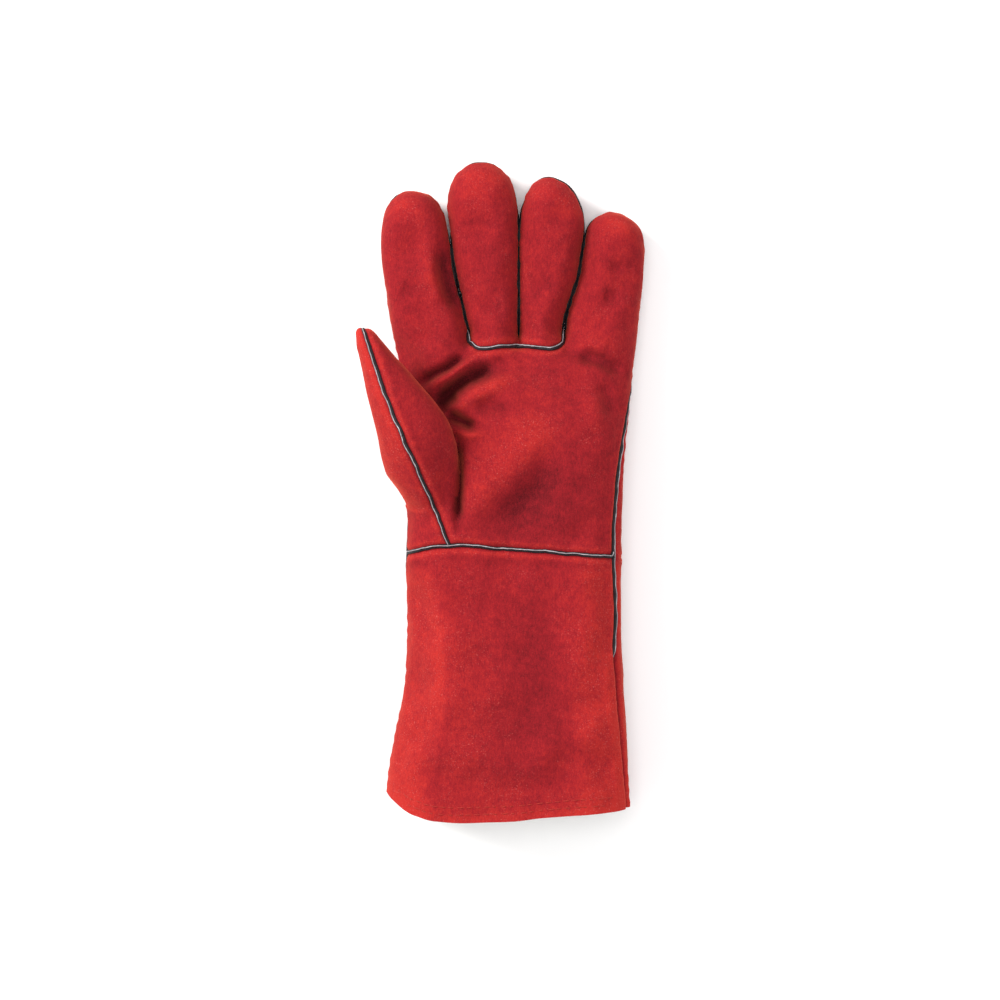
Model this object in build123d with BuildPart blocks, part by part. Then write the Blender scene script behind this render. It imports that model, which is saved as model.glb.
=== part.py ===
"""Left-hand welder's gauntlet in split leather, lying on its back with the palm up.

Frame: millimetres. +Y runs from the cuff's hem to the fingertips, +X from the thumb to the little
finger and +Z out of the palm. The origin is under the middle of the whole glove, on the table.

Every body of the glove is a hollow form: an outer surface that can be moved in or out by a chosen
amount, so that leather, lining and welts all come from the same few forms.
"""

import os

from build123d import *

# ---- materials, as thicknesses ----
LEATHER = 1.5
LINING = 1.2
LINING_GAP = 0.2
LINING_OUT = -(LEATHER + LINING_GAP)
LINING_IN = LINING_OUT - LINING

# ---- welts: strips sewn into a seam, standing a little proud of the leather ----
SEAM = 1.6  # the slot between two leather edges that a welt sits in
WELT = 1.4
WELT_PROUD = 1.0

# ---- stations along the glove ----
HEM_Y = -175.0
CUFF_TOP_Y = -62.0
WRIST_SEAM_Y = -31.0
FINGER_ROOT_Y = 79.0
FINGER_FOLD = 26.0  # length of leather that bends at each finger's root
FINGER_START_Y = FINGER_ROOT_Y + FINGER_FOLD
BREAK = 0.1  # half of the clearance where one body ends and the next begins
TO_MIDDLE = (-1.15, -0.18, 0.0)  # puts the origin under the middle of the finished glove

# ---- hand and cuff: (y, left edge, right edge, left edge's radius, right edge's radius) ----
ARM_SECTIONS = [
    (-180.0, -61.5, 69.5, 21.0, 24.0),
    (-100.0, -52.0, 64.0, 19.0, 23.0),
    (WRIST_SEAM_Y, -51.0, 62.5, 16.0, 22.0),
    (20.0, -52.0, 66.0, 13.0, 21.0),
    (FINGER_ROOT_Y + 1.0, -57.0, 73.0, 13.5, 15.0),
]
FLAT = 0.3  # how far the forms sink below the table before they are cut level with it
REACH = 130.0  # farther out than any wall of the glove

# ---- hem: an arc in plan, through its left end, its lowest point and its right end ----
HEM_LEFT = (-66.0, -160.0)
HEM_LOW = (-4.0, HEM_Y)
HEM_RIGHT = (74.0, -166.0)
HEM_LINING = 1.5  # the lining stops this far inside the hem
THREAD = 0.7
THREAD_PROUD = 0.4
STITCH = 3.2
STITCH_PITCH = 4.8
STITCH_COUNT = 20
STITCH_ROWS = (4.0, 8.0)  # heights of the two rows above the hem's edge

# ---- side seams: (y, height) at both ends ----
THUMB_SIDE_SEAM = ((-40.0, 17.0), (85.0, 15.0))
LITTLE_SIDE_SEAM = ((-40.0, 33.0), (85.0, 15.0))
CUFF_LEFT_SEAM = ((-190.0, 22.0), (-30.0, 17.0))
CUFF_RIGHT_SEAM = ((-190.0, 37.0), (-30.0, 33.0))

# ---- fingers: root edges in x, centre and radius of the rounded tip ----
FINGER_HEIGHT = 29.0
FINGER_EDGE = 10.5  # rounding of the finger's long edges
FINGER_SEAM_Z = 15.0
FINGERS = {
    "index": (-56.5, -19.5, (-47.0, 143.0), 16.2),
    "middle": (-16.8, 8.0, (-9.9, 157.4), 17.6),
    "ring": (11.0, 34.0, (27.2, 150.4), 16.4),
    "little": (37.0, 72.0, (61.2, 133.0), 14.9),
}
ROOT_WELT_LEFT = FINGERS["middle"][0]
ROOT_WELT_RIGHT = FINGERS["ring"][1]
ROOT_WELT_FLOOR = 22.0  # the root welt lies only in the palm side, above this height

# ---- thumb: a tapering oval form rising out of the palm: (centre, thickness, breadth) ----
THUMB_AXIS = (-0.36, 0.91, 0.20)
THUMB_SIDEWAYS = (0.93, 0.368, 0.0)
THUMB_SECTIONS = [
    ((-34.0, -18.0, 14.0), 26.0, 34.0),
    ((-41.0, 10.0, 30.0), 37.0, 42.0),
    ((-50.5, 40.0, 44.5), 35.0, 36.0),
    ((-61.0, 63.0, 47.0), 23.0, 31.0),
    ((-69.0, 79.0, 48.0), 12.0, 22.0),
    ((-72.2, 85.0, 48.5), 5.0, 10.0),
]
THUMB_TIP_LEAST = 0.6  # half the thickness of the thinnest oval that a form may end in
THUMB_FOLD_END = (-52.5, 46.0, 45.0)  # the leather that bends ends here, square to the thumb
THUMB_SEAM_FOOT = (-28.7, -26.0)  # where the thumb's front seam reaches the wrist
THUMB_SEAM_ANGLE = 21.0  # the seam's lean from +Y, towards the thumb
THUMB_SEAM_FOOT_LENGTH = 24.0
THUMB_CLEAR = 0.6  # between the thumb's shell and the palm that it lies on
THUMB_MARGIN = 3.0  # width of palm leather round the thumb that bends with it

CUT = Mode.SUBTRACT
KEEP = Mode.INTERSECT


def arm_form(grow):
    """The hand and cuff together as one closed form, moved out by grow all over."""
    with BuildPart() as form:
        for y, left, right, left_radius, right_radius in ARM_SECTIONS:
            with BuildSketch(Plane((0, y, -FLAT), x_dir=(1, 0, 0), z_dir=(0, -1, 0))):
                with BuildLine():
                    CenterArc((left + left_radius, left_radius), left_radius + grow, 0, 360)
                    CenterArc((right - right_radius, right_radius), right_radius + grow, 0, 360)
                make_hull()
        loft()
    return form.part


def finger_form(name, grow):
    """One finger as a closed pillow: a straight-sided outline with a round tip and rounded edges."""
    left, right, tip, radius = FINGERS[name]
    start = FINGER_ROOT_Y - FINGER_FOLD / 2
    with BuildPart() as form:
        with BuildSketch(Plane.XY.offset(-FLAT - grow)):
            with BuildLine():
                Line((left - grow, start), (right + grow, start))
                CenterArc(tip, radius + grow, 0, 360)
            make_hull()
        extrude(amount=FINGER_HEIGHT + 2 * grow)
        rims = [
            edge
            for face in (faces().sort_by(Axis.Z)[0], faces().sort_by(Axis.Z)[-1])
            for edge in face.edges()
            if edge.center().Y > start + 1
        ]
        fillet(rims, FINGER_EDGE + grow)
    return form.part


def thumb_form(grow):
    """The thumb as one closed form, moved out by grow all over."""
    tip = THUMB_SECTIONS[-1]
    with BuildPart() as form:
        for section in THUMB_SECTIONS:
            centre, thickness, breadth = section
            middle = Vector(*centre) + Vector(*THUMB_AXIS) * (grow if section == tip else 0)
            with BuildSketch(Plane(middle, x_dir=THUMB_SIDEWAYS, z_dir=THUMB_AXIS)):
                Ellipse(max(thickness / 2 + grow, THUMB_TIP_LEAST), breadth / 2 + grow)
        loft()
    return form.part


def block(y_low, y_high, x_low=-REACH, x_high=REACH, z_low=0.0):
    """A tall box that keeps one stretch of the glove and nothing under the table."""
    with BuildPart() as box:
        with BuildSketch(Plane.XY.offset(z_low)):
            with Locations(((x_low + x_high) / 2, (y_low + y_high) / 2)):
                Rectangle(x_high - x_low, y_high - y_low)
        extrude(amount=REACH)
    return box.part


def between(left_seam, right_seam, low, high):
    """All that lies from low to high above the two side seams, each on its own side."""
    with BuildPart() as zone:
        for side, ((y0, z0), (y1, z1)) in ((-1, left_seam), (1, right_seam)):
            with BuildSketch(Plane.YZ):
                Polygon((y0, z0 + low), (y1, z1 + low), (y1, z1 + high), (y0, z0 + high), align=None)
            extrude(amount=side * REACH)
    return zone.part


def thumb_slab(thickness, length):
    """A thin upright slab in the plane of the thumb's seam, starting below the seam's foot."""
    turn = Location((*THUMB_SEAM_FOOT, 0), (0, 0, THUMB_SEAM_ANGLE))
    with BuildPart() as slab:
        with BuildSketch(Plane(turn)):
            with Locations((0, length / 2 - 10)):
                Rectangle(thickness, length)
        extrude(amount=REACH)
    return slab.part


def thumb_halfspace(offset, side):
    """The side of the thumb's fold end that is nearer the tip (side 1) or the palm (side -1)."""
    cut = Plane(THUMB_FOLD_END, x_dir=THUMB_SIDEWAYS, z_dir=THUMB_AXIS).offset(side * offset)
    with BuildPart() as half:
        with BuildSketch(cut):
            Rectangle(2 * REACH, 2 * REACH)
        extrude(amount=side * REACH)
    return half.part


def hem_zone(lift):
    """Everything above the hem's curve, the curve being moved up by lift."""
    left, low, right = [Vector(x, y + lift) for x, y in (HEM_LEFT, HEM_LOW, HEM_RIGHT)]
    with BuildPart() as zone:
        with BuildSketch():
            with BuildLine():
                ThreePointArc(left, low, right)
                Polyline(right, (REACH, right.Y), (REACH, 0), (-REACH, 0), (-REACH, left.Y), left)
            make_face()
        extrude(amount=REACH)
    return zone.part


def save(name, first, *steps):
    """Writes one node: a first shape, then (shape, mode) pairs applied to it in order."""
    with BuildPart() as node:
        add(first)
        for shape, mode in steps:
            add(shape, mode=mode)
    placed = node.part.moved(Location(TO_MIDDLE))
    placed.label = name
    export_step(placed, f"parts/{name}.step")


os.makedirs("parts", exist_ok=True)

# ---- the forms that every piece is taken from ----
arm_welt = arm_form(WELT_PROUD)
arm_thread = arm_form(THREAD_PROUD)
arm_outer = arm_form(0.0)
arm_inner = arm_form(-LEATHER)
lining_outer = arm_form(LINING_OUT)
lining_inner = arm_form(LINING_IN)
thumb_outer = thumb_form(0.0)
thumb_inner = thumb_form(-LEATHER)
thumb_hole = thumb_form(THUMB_MARGIN)

hand_block = block(WRIST_SEAM_Y + SEAM / 2, FINGER_ROOT_Y - BREAK)
cuff_block = block(-200.0, CUFF_TOP_Y - BREAK)
hem = hem_zone(0.0)
hem_of_lining = hem_zone(HEM_LINING)

SEAM_ABOVE = (SEAM / 2, REACH)
SEAM_BELOW = (-REACH, -SEAM / 2)
SEAM_MIDST = (-WELT / 2, WELT / 2)
palm_side = between(THUMB_SIDE_SEAM, LITTLE_SIDE_SEAM, *SEAM_ABOVE)
back_side = between(THUMB_SIDE_SEAM, LITTLE_SIDE_SEAM, *SEAM_BELOW)
welt_band = between(THUMB_SIDE_SEAM, LITTLE_SIDE_SEAM, *SEAM_MIDST)

# ---- hand: leather and lining ----
root_slot = block(
    FINGER_ROOT_Y - SEAM, FINGER_ROOT_Y, ROOT_WELT_LEFT - BREAK, ROOT_WELT_RIGHT + BREAK, ROOT_WELT_FLOOR
)
with BuildPart() as palm_front:
    add(arm_outer)
    add(arm_inner, mode=CUT)
    add(hand_block, mode=KEEP)
    add(palm_side, mode=KEEP)
    add(thumb_hole, mode=CUT)
    add(thumb_slab(SEAM, THUMB_SEAM_FOOT_LENGTH + 20), mode=CUT)
    add(root_slot, mode=CUT)

heel_leather, palm_leather = palm_front.part.solids().sort_by(SortBy.VOLUME)[-2:]
save("palm_leather", palm_leather)
save("thumb_heel_leather", heel_leather)
save("hand_back_leather", arm_outer, (arm_inner, CUT), (hand_block, KEEP), (back_side, KEEP))
save(
    "palm_lining",
    lining_outer,
    (lining_inner, CUT),
    (hand_block, KEEP),
    (palm_side, KEEP),
    (thumb_hole, CUT),
)
save("hand_back_lining", lining_outer, (lining_inner, CUT), (hand_block, KEEP), (back_side, KEEP))

# ---- hand: welts ----
with BuildPart() as hand_side_welts:
    add(arm_welt)
    add(arm_inner, mode=CUT)
    add(hand_block, mode=KEEP)
    add(welt_band, mode=KEEP)

thumb_side_welt, little_side_welt = hand_side_welts.part.solids().sort_by(Axis.X)
save("thumb_side_welt", thumb_side_welt)
save("little_side_welt", little_side_welt)
save(
    "wrist_welt",
    arm_welt,
    (arm_inner, CUT),
    (block(WRIST_SEAM_Y - WELT / 2, WRIST_SEAM_Y + WELT / 2), KEEP),
)
save(
    "finger_root_welt",
    arm_welt,
    (arm_inner, CUT),
    (
        block(
            FINGER_ROOT_Y - SEAM + BREAK, FINGER_ROOT_Y - BREAK, ROOT_WELT_LEFT, ROOT_WELT_RIGHT,
            ROOT_WELT_FLOOR + BREAK,
        ),
        KEEP,
    ),
)
save(
    "thumb_foot_welt",
    arm_welt,
    (arm_inner, CUT),
    (hand_block, KEEP),
    (palm_side, KEEP),
    (thumb_slab(WELT, THUMB_SEAM_FOOT_LENGTH + 20), KEEP),
    (thumb_hole, CUT),
)

# ---- thumb: the leather that bends round its foot, then two halves, welt and lining ----
save(
    "thumb_fold",
    arm_outer,
    (thumb_outer, Mode.ADD),
    (arm_inner, CUT),
    (thumb_inner, CUT),
    (thumb_form(THUMB_MARGIN - BREAK), KEEP),
    (thumb_halfspace(BREAK, -1), KEEP),
    (block(WRIST_SEAM_Y + SEAM / 2, FINGER_ROOT_Y), KEEP),
    (palm_side, KEEP),
)
palm_clear = arm_form(THUMB_CLEAR)
thumb_far = thumb_halfspace(BREAK, 1)
with BuildPart() as thumb_leather:
    add(thumb_outer)
    add(thumb_inner, mode=CUT)
    add(thumb_far, mode=KEEP)
    add(palm_clear, mode=CUT)
    add(thumb_slab(SEAM, 150), mode=CUT)

outer_half, inner_half = thumb_leather.part.solids().sort_by(SortBy.VOLUME)[-2:].sort_by(Axis.X)
save("thumb_outer_leather", outer_half)
save("thumb_inner_leather", inner_half)
save(
    "thumb_welt",
    thumb_form(WELT_PROUD),
    (thumb_inner, CUT),
    (thumb_far, KEEP),
    (palm_clear, CUT),
    (thumb_slab(WELT, 150), KEEP),
)
save(
    "thumb_lining",
    thumb_form(LINING_OUT),
    (thumb_form(LINING_IN), CUT),
    (thumb_far, KEEP),
    (palm_clear, CUT),
)

# ---- fingers: bending root, front, back, welt and lining, the same five pieces for each ----
finger_fold_block = block(FINGER_ROOT_Y + BREAK, FINGER_START_Y - BREAK)
finger_far = block(FINGER_START_Y + BREAK, 200.0)
finger_front = block(FINGER_START_Y + BREAK, 200.0, z_low=FINGER_SEAM_Z + SEAM / 2)
finger_midst = block(FINGER_START_Y + BREAK, 200.0, z_low=FINGER_SEAM_Z - WELT / 2)
finger_above_welt = block(0.0, 220.0, z_low=FINGER_SEAM_Z + WELT / 2)
finger_above_back = block(0.0, 220.0, z_low=FINGER_SEAM_Z - SEAM / 2)

for name in FINGERS:
    outer = finger_form(name, 0.0)
    inner = finger_form(name, -LEATHER)
    save(f"{name}_fold", outer, (inner, CUT), (finger_fold_block, KEEP))
    save(f"{name}_front_leather", outer, (inner, CUT), (finger_front, KEEP))
    save(f"{name}_back_leather", outer, (inner, CUT), (finger_far, KEEP), (finger_above_back, CUT))
    save(
        f"{name}_welt",
        finger_form(name, WELT_PROUD),
        (inner, CUT),
        (finger_midst, KEEP),
        (finger_above_welt, CUT),
    )
    save(
        f"{name}_lining",
        finger_form(name, LINING_OUT),
        (finger_form(name, LINING_IN), CUT),
        (finger_far, KEEP),
    )

# ---- cuff: bending wrist, front, back, side welts and lining ----
cuff_front = between(CUFF_LEFT_SEAM, CUFF_RIGHT_SEAM, *SEAM_ABOVE)
cuff_back = between(CUFF_LEFT_SEAM, CUFF_RIGHT_SEAM, *SEAM_BELOW)
save(
    "wrist_fold",
    arm_outer,
    (arm_inner, CUT),
    (block(CUFF_TOP_Y + BREAK, WRIST_SEAM_Y - SEAM / 2), KEEP),
)
for name, side in (("front", cuff_front), ("back", cuff_back)):
    save(
        f"cuff_{name}_leather",
        arm_outer,
        (arm_inner, CUT),
        (cuff_block, KEEP),
        (hem, KEEP),
        (side, KEEP),
    )
    save(
        f"cuff_{name}_lining",
        lining_outer,
        (lining_inner, CUT),
        (cuff_block, KEEP),
        (hem_of_lining, KEEP),
        (side, KEEP),
    )

with BuildPart() as cuff_side_welts:
    add(arm_welt)
    add(arm_inner, mode=CUT)
    add(cuff_block, mode=KEEP)
    add(hem, mode=KEEP)
    add(between(CUFF_LEFT_SEAM, CUFF_RIGHT_SEAM, *SEAM_MIDST), mode=KEEP)

cuff_thumb_welt, cuff_little_welt = cuff_side_welts.part.solids().sort_by(Axis.X)
save("cuff_thumb_welt", cuff_thumb_welt)
save("cuff_little_welt", cuff_little_welt)

# ---- hem thread: two rows of stitches on the palm side ----
with BuildPart() as rows:
    for lift in STITCH_ROWS:
        add(hem_zone(lift))
        add(hem_zone(lift + THREAD), mode=CUT)

with BuildPart() as stitch_comb:
    with BuildSketch():
        with Locations((HEM_LOW[0], HEM_Y)):
            with GridLocations(STITCH_PITCH, 1, STITCH_COUNT, 1):
                Rectangle(STITCH, 60)
    extrude(amount=REACH)

save(
    "hem_thread",
    arm_thread,
    (arm_outer, CUT),
    (block(-200.0, CUFF_TOP_Y, z_low=FINGER_HEIGHT), KEEP),
    (rows.part, KEEP),
    (stitch_comb.part, KEEP),
)
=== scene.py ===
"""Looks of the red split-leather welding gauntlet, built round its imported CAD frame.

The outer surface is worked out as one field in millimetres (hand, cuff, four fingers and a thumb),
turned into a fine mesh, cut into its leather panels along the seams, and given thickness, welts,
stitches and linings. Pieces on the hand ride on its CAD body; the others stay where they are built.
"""

import math

import bpy
import numpy as np
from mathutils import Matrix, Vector
from mathutils.kdtree import KDTree


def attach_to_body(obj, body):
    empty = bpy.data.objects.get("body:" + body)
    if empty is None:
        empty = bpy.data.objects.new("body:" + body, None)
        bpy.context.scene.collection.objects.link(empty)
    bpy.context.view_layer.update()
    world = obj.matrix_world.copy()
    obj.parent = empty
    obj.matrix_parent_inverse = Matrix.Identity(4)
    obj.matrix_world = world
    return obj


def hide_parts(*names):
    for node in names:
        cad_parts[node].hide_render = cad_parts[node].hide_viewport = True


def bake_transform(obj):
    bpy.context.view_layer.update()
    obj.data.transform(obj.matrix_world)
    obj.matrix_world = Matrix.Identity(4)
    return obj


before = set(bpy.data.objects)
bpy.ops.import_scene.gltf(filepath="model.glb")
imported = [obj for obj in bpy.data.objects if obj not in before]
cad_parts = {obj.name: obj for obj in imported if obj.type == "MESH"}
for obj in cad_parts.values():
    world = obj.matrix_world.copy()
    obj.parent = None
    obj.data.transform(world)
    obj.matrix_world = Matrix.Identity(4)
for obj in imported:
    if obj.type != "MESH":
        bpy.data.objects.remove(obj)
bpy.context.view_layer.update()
rng = np.random.default_rng(11)

MM = 0.001
TO_MIDDLE = np.array((-1.15, -0.18, 0.0))  # from the drawing's origin to the frame's
CELL = 1.1
LOW = np.array((-84.0, -190.0, -3.0))
HIGH = np.array((84.0, 182.0, 68.0))

LEATHER = 1.5  # thicknesses, in millimetres
LINING_GAP = 0.25
LINING = 1.0
SEAM_ALLOWANCE = 0.6  # further in again, for the grooves that the leather has along its seams


# ------------ small tools
def smooth(t):
    t = np.clip(t, 0.0, 1.0)
    return t * t * (3 - 2 * t)


def bell(d, width, power=2):
    """1 at zero, falling away to nothing; a higher power makes the top flatter."""
    return np.exp(-((d / width) ** power))


def unit(v):
    return v / np.maximum(np.linalg.norm(v, axis=1, keepdims=True), 1e-9)


def distance_along(line):
    return np.concatenate(([0], np.cumsum(np.linalg.norm(np.diff(line, axis=0), axis=1))))


def columns_at(at, length, values):
    """The rows of values where a line has gone so far."""
    return np.column_stack([np.interp(at, length, values[:, i]) for i in range(3)])


def triangle_edges(tris):
    return np.concatenate([tris[:, [0, 1]], tris[:, [1, 2]], tris[:, [2, 0]]])


def add_object(name, data):
    obj = bpy.data.objects.new(name, data)
    bpy.context.scene.collection.objects.link(obj)
    return obj


def table(points, at):
    """Smooth values through (position, value) pairs, by cubic Hermite pieces."""
    p = np.array(points, float)
    x, v = p[:, 0], p[:, 1]
    slope = np.gradient(v, x)
    at = np.clip(at, x[0], x[-1])
    i = np.clip(np.searchsorted(x, at) - 1, 0, len(x) - 2)
    h = x[i + 1] - x[i]
    t = (at - x[i]) / h
    return (
        v[i] * (1 + 2 * t) * (1 - t) ** 2
        + slope[i] * h * t * (1 - t) ** 2
        + v[i + 1] * t * t * (3 - 2 * t)
        + slope[i + 1] * h * t * t * (t - 1)
    )


def rounded(points, per_span=6):
    """A closed Catmull-Rom curve through the points."""
    p = np.array(points, float)
    t = np.linspace(0, 1, per_span, endpoint=False)[:, None]
    out = []
    for i in range(len(p)):
        a, b, c, d = p[i - 1], p[i], p[(i + 1) % len(p)], p[(i + 2) % len(p)]
        out.append(
            0.5 * (2 * b + (c - a) * t + (2 * a - 5 * b + 4 * c - d) * t**2 + (3 * b - a - 3 * c + d) * t**3)
        )
    return np.concatenate(out)


def to_segments(x, y, line, closed=False):
    """Distance from each (x, y) to a polyline, and how far along it the nearest point is, 0 to 1."""
    p = np.array(line, float)
    q = np.roll(p, -1, 0) if closed else p[1:]
    p = p if closed else p[:-1]
    lengths = np.hypot(*(q - p).T)
    starts = np.concatenate(([0], np.cumsum(lengths)))[:-1]
    total = lengths.sum()
    best = np.full(x.shape, 1e9)
    along = np.zeros(x.shape)
    for (x0, y0), (x1, y1), length, start in zip(p, q, lengths, starts):
        if length < 1e-9:
            continue
        t = np.clip(((x - x0) * (x1 - x0) + (y - y0) * (y1 - y0)) / length**2, 0, 1)
        d = (x - x0 - t * (x1 - x0)) ** 2 + (y - y0 - t * (y1 - y0)) ** 2
        near = d < best
        best = np.where(near, d, best)
        along = np.where(near, (start + t * length) / total, along)
    return np.sqrt(best), along


def inside(x, y, line):
    p = np.array(line, float)
    q = np.roll(p, -1, 0)
    odd = np.zeros(x.shape, bool)
    for (x0, y0), (x1, y1) in zip(p, q):
        if y0 == y1:
            continue
        cross = ((y0 > y) != (y1 > y)) & (x < (x1 - x0) * (y - y0) / (y1 - y0) + x0)
        odd ^= cross
    return odd


def blur(a, times):
    for _ in range(times):
        a = np.pad(a, 1, mode="edge")
        a = (a[:-2, 1:-1] + 2 * a[1:-1, 1:-1] + a[2:, 1:-1]) / 4
        a = np.pad(a, ((0, 0), (1, 1)), mode="edge")
        a = (a[:, :-2] + 2 * a[:, 1:-1] + a[:, 2:]) / 4
    return a


def waves(x, y, length, seed):
    """Smooth random undulation of about unit height, with features about length apart."""
    r = np.random.default_rng(seed)
    out = np.zeros(np.shape(x))
    for _ in range(14):
        angle = r.uniform(0, 2 * math.pi)
        k = 2 * math.pi / (length * r.uniform(0.7, 1.5))
        out = out + np.sin(k * (np.cos(angle) * x + np.sin(angle) * y) + r.uniform(0, 2 * math.pi))
    return out / 3.7


# ------------ outline seen from above
OUTLINE = [
    (-62.5, -204), (-61.8, -186), (-60.9, -162), (-58.6, -143), (-54.8, -122), (-51.0, -102), (-49.8, -70),
    (-50.2, -40), (-49.4, -13), (-51, 10), (-52.5, 40), (-53.9, 66), (-58.2, 85), (-62.0, 107), (-64.2, 131),
    (-62.8, 146.5), (-57.2, 156.6), (-47.8, 160.8), (-37.4, 157.6), (-31.0, 148.5), (-28.7, 137),
    (-27.2, 127), (-25.7, 117), (-23.2, 107), (-20.5, 96), (-18.3, 86), (-17.3, 80.0), (-16.0, 84),
    (-18.3, 94), (-21.3, 107), (-23.5, 117), (-25.3, 127), (-27.2, 143), (-28.3, 154), (-25.6, 166.2),
    (-18.6, 173.6), (-9.8, 175.8), (-1.2, 173), (5.6, 165), (8.3, 153), (8.8, 140), (8.7, 120),
    (8.6, 100), (8.5, 85), (9.4, 78.6), (10.5, 85), (10.4, 100), (10.4, 120), (10.4, 139),
    (11.9, 153), (17.1, 164), (25.8, 167.8), (35, 164.2), (41.6, 155.5), (44.3, 144), (42.9, 132),
    (40.4, 116), (36.3, 103), (33.4, 93), (32.2, 86), (33.4, 80.6), (35.2, 86), (36.2, 94),
    (39.0, 104), (42.9, 117), (44.9, 131), (47.2, 141.8), (53.2, 147.6), (60.8, 149), (69, 146),
    (74.6, 139.5), (76.6, 130), (76.3, 118), (75.4, 106), (73.6, 90), (71.6, 73), (68.6, 48),
    (65.6, 11), (64.3, -26), (64.2, -58), (64.7, -85), (66.4, -122), (67.7, -152), (68.6, -172),
    (69.0, -186), (69.6, -204),
]
SLITS = [  # the lines between neighbouring fingers
    [
        (-17.3, 60), (-17.3, 80.0), (-17.1, 85), (-19.4, 95), (-22.2, 107), (-24.6, 117), (-26.1, 127),
        (-27.6, 138), (-29.3, 150), (-31, 190),
    ],
    [(9.4, 60), (9.4, 78.6), (9.5, 85), (9.5, 100), (9.6, 120), (9.7, 140), (10.4, 153), (9, 190)],
    [
        (33.4, 60), (33.4, 80.6), (33.7, 86), (34.8, 93.5), (37.6, 103.5), (41.6, 116.5), (43.9, 131.5),
        (46, 143), (49, 190),
    ],
]
FINGER_NAMES = ["index", "middle", "ring", "little"]
ROOT_Y = 79.5
FINGERS_FROM = ROOT_Y - 0.5  # where the outseam's strip becomes a finger's

# half thickness above and below the widest level, along y, and how far in from the outline it rounds off
FRONT_HEIGHT = [
    (-190, 24.5), (-110, 23.5), (-60, 22), (-31, 21), (0, 22.5), (35, 22.5), (60, 19), (80, 16.5),
    (100, 15.2), (130, 15), (150, 14.5), (180, 13.5),
]
BACK_HEIGHT = [(-190, 21), (-100, 20), (-31, 19.5), (20, 18), (60, 15), (85, 13.2), (180, 12.6)]
RIM = [(-190, 27), (-100, 25), (-31, 24), (20, 25), (60, 22), (84, 17), (110, 16), (180, 16)]

# folds and swellings of the palm side: line, width, height (negative is a valley)
STROKES = [
    ([(-44.5, 57.0), (-39.9, 59.4), (-33, 62.6), (-27.8, 65.2), (-22.5, 69.2), (-18, 73)], 2.9, -6.8),
    ([(-38.5, 54.6), (-33, 57.4), (-25.7, 61.8), (-19.6, 67.0), (-12.5, 71.5)], 2.7, 3.4),
    ([(-36.5, 47.4), (-31.5, 49.6), (-25.2, 54.4), (-17.2, 59.2), (-10, 62.6), (-1, 66.0)], 4.2, -9.4),
    ([(-34.5, 44.5), (-29, 46.6), (-22, 51.0)], 3.8, -6.2),
    ([(-30, 41.5), (-19, 47.5), (-6, 54.5), (6, 60)], 4.6, 3.8),
    ([(-29.5, 41.2), (-24.4, 38.7), (-18.9, 36.0), (-12.6, 33.2)], 3.0, -8.0),
    ([(-15, 45.0), (-4, 43.6), (7, 41.4)], 4.8, -2.8),
    ([(-25.2, 32.4), (-19.6, 29.6), (-14.6, 28.4), (-9.6, 29.8)], 2.0, 2.9),
    ([(-23.0, 28), (-22.2, 18), (-21.8, 8), (-22.2, -5), (-22.4, -19)], 2.8, -9.0),
    ([(-17, -14), (-2, 8), (14, 24), (30, 38)], 9, 3.4),
    ([(-14, 20), (2, 33), (20, 44)], 8, 1.4),
    ([(2, -18), (16, 0), (34, 16)], 9, -2.6),
    ([(39, 72.5), (50, 69.5), (66, 62.5)], 3.8, -4.4),
    ([(44, 80), (57, 75)], 5, 2.2),
    ([(52, 57), (56.5, 49), (56, 38)], 5, -2.8),
    ([(47, 52), (51, 42), (51, 30)], 6, 1.5),
    ([(-31.5, 131), (-30.4, 119), (-27.2, 108.5), (-22.4, 96)], 3.6, -6.6),
    ([(-37, 126), (-35.5, 112), (-31, 98)], 6.5, 2.2),
    ([(57, 119), (66, 118)], 3.6, -1.7),
    ([(54, 103.5), (63, 102.5)], 3.8, -1.9),
    ([(-54, 107), (-45, 103)], 6, -1.3),
    ([(-10, 96), (4, 94)], 5, -1.2),
    ([(14, 106), (30, 110)], 5, -1.1),
    ([(-44.5, -40), (-43.5, -75), (-45, -120)], 7, -1.4),
    ([(-30, -60), (-20, -110), (-22, -160)], 14, 1.6),
    ([(8, -45), (20, -95), (14, -145)], 13, -1.8),
    ([(40, -50), (42, -100), (46, -150)], 10, 0.6),
    ([(25, -120), (45, -138), (58, -150)], 6, -1.2),
    ([(55.8, -80), (58.4, -106), (61.6, -137), (64.4, -178)], 3.6, 2.8),
]

print("outline")
PLAN_CELL = 0.75
xs = np.arange(LOW[0], HIGH[0] + 1e-6, PLAN_CELL)
ys = np.arange(LOW[1], HIGH[1] + 1e-6, PLAN_CELL)
gx, gy = np.meshgrid(xs, ys, indexing="ij")
outline = rounded(OUTLINE, 5)
edge, _ = to_segments(gx, gy, outline, closed=True)
edge = np.where(inside(gx, gy, outline), edge, -edge)  # positive inside


def stroke_field(strokes):
    total = np.zeros_like(gx)
    for line, width, height in strokes:
        d, along = to_segments(gx, gy, line)
        fade = smooth(along / 0.25) * smooth((1 - along) / 0.25) * 0.75 + 0.25
        fade = np.where((along <= 0) | (along >= 1), 0.25, fade)
        total += height * fade * bell(d, width)
    return total


rim = table(RIM, gy)
front = table(FRONT_HEIGHT, gy)
back = table(BACK_HEIGHT, gy)
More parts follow.
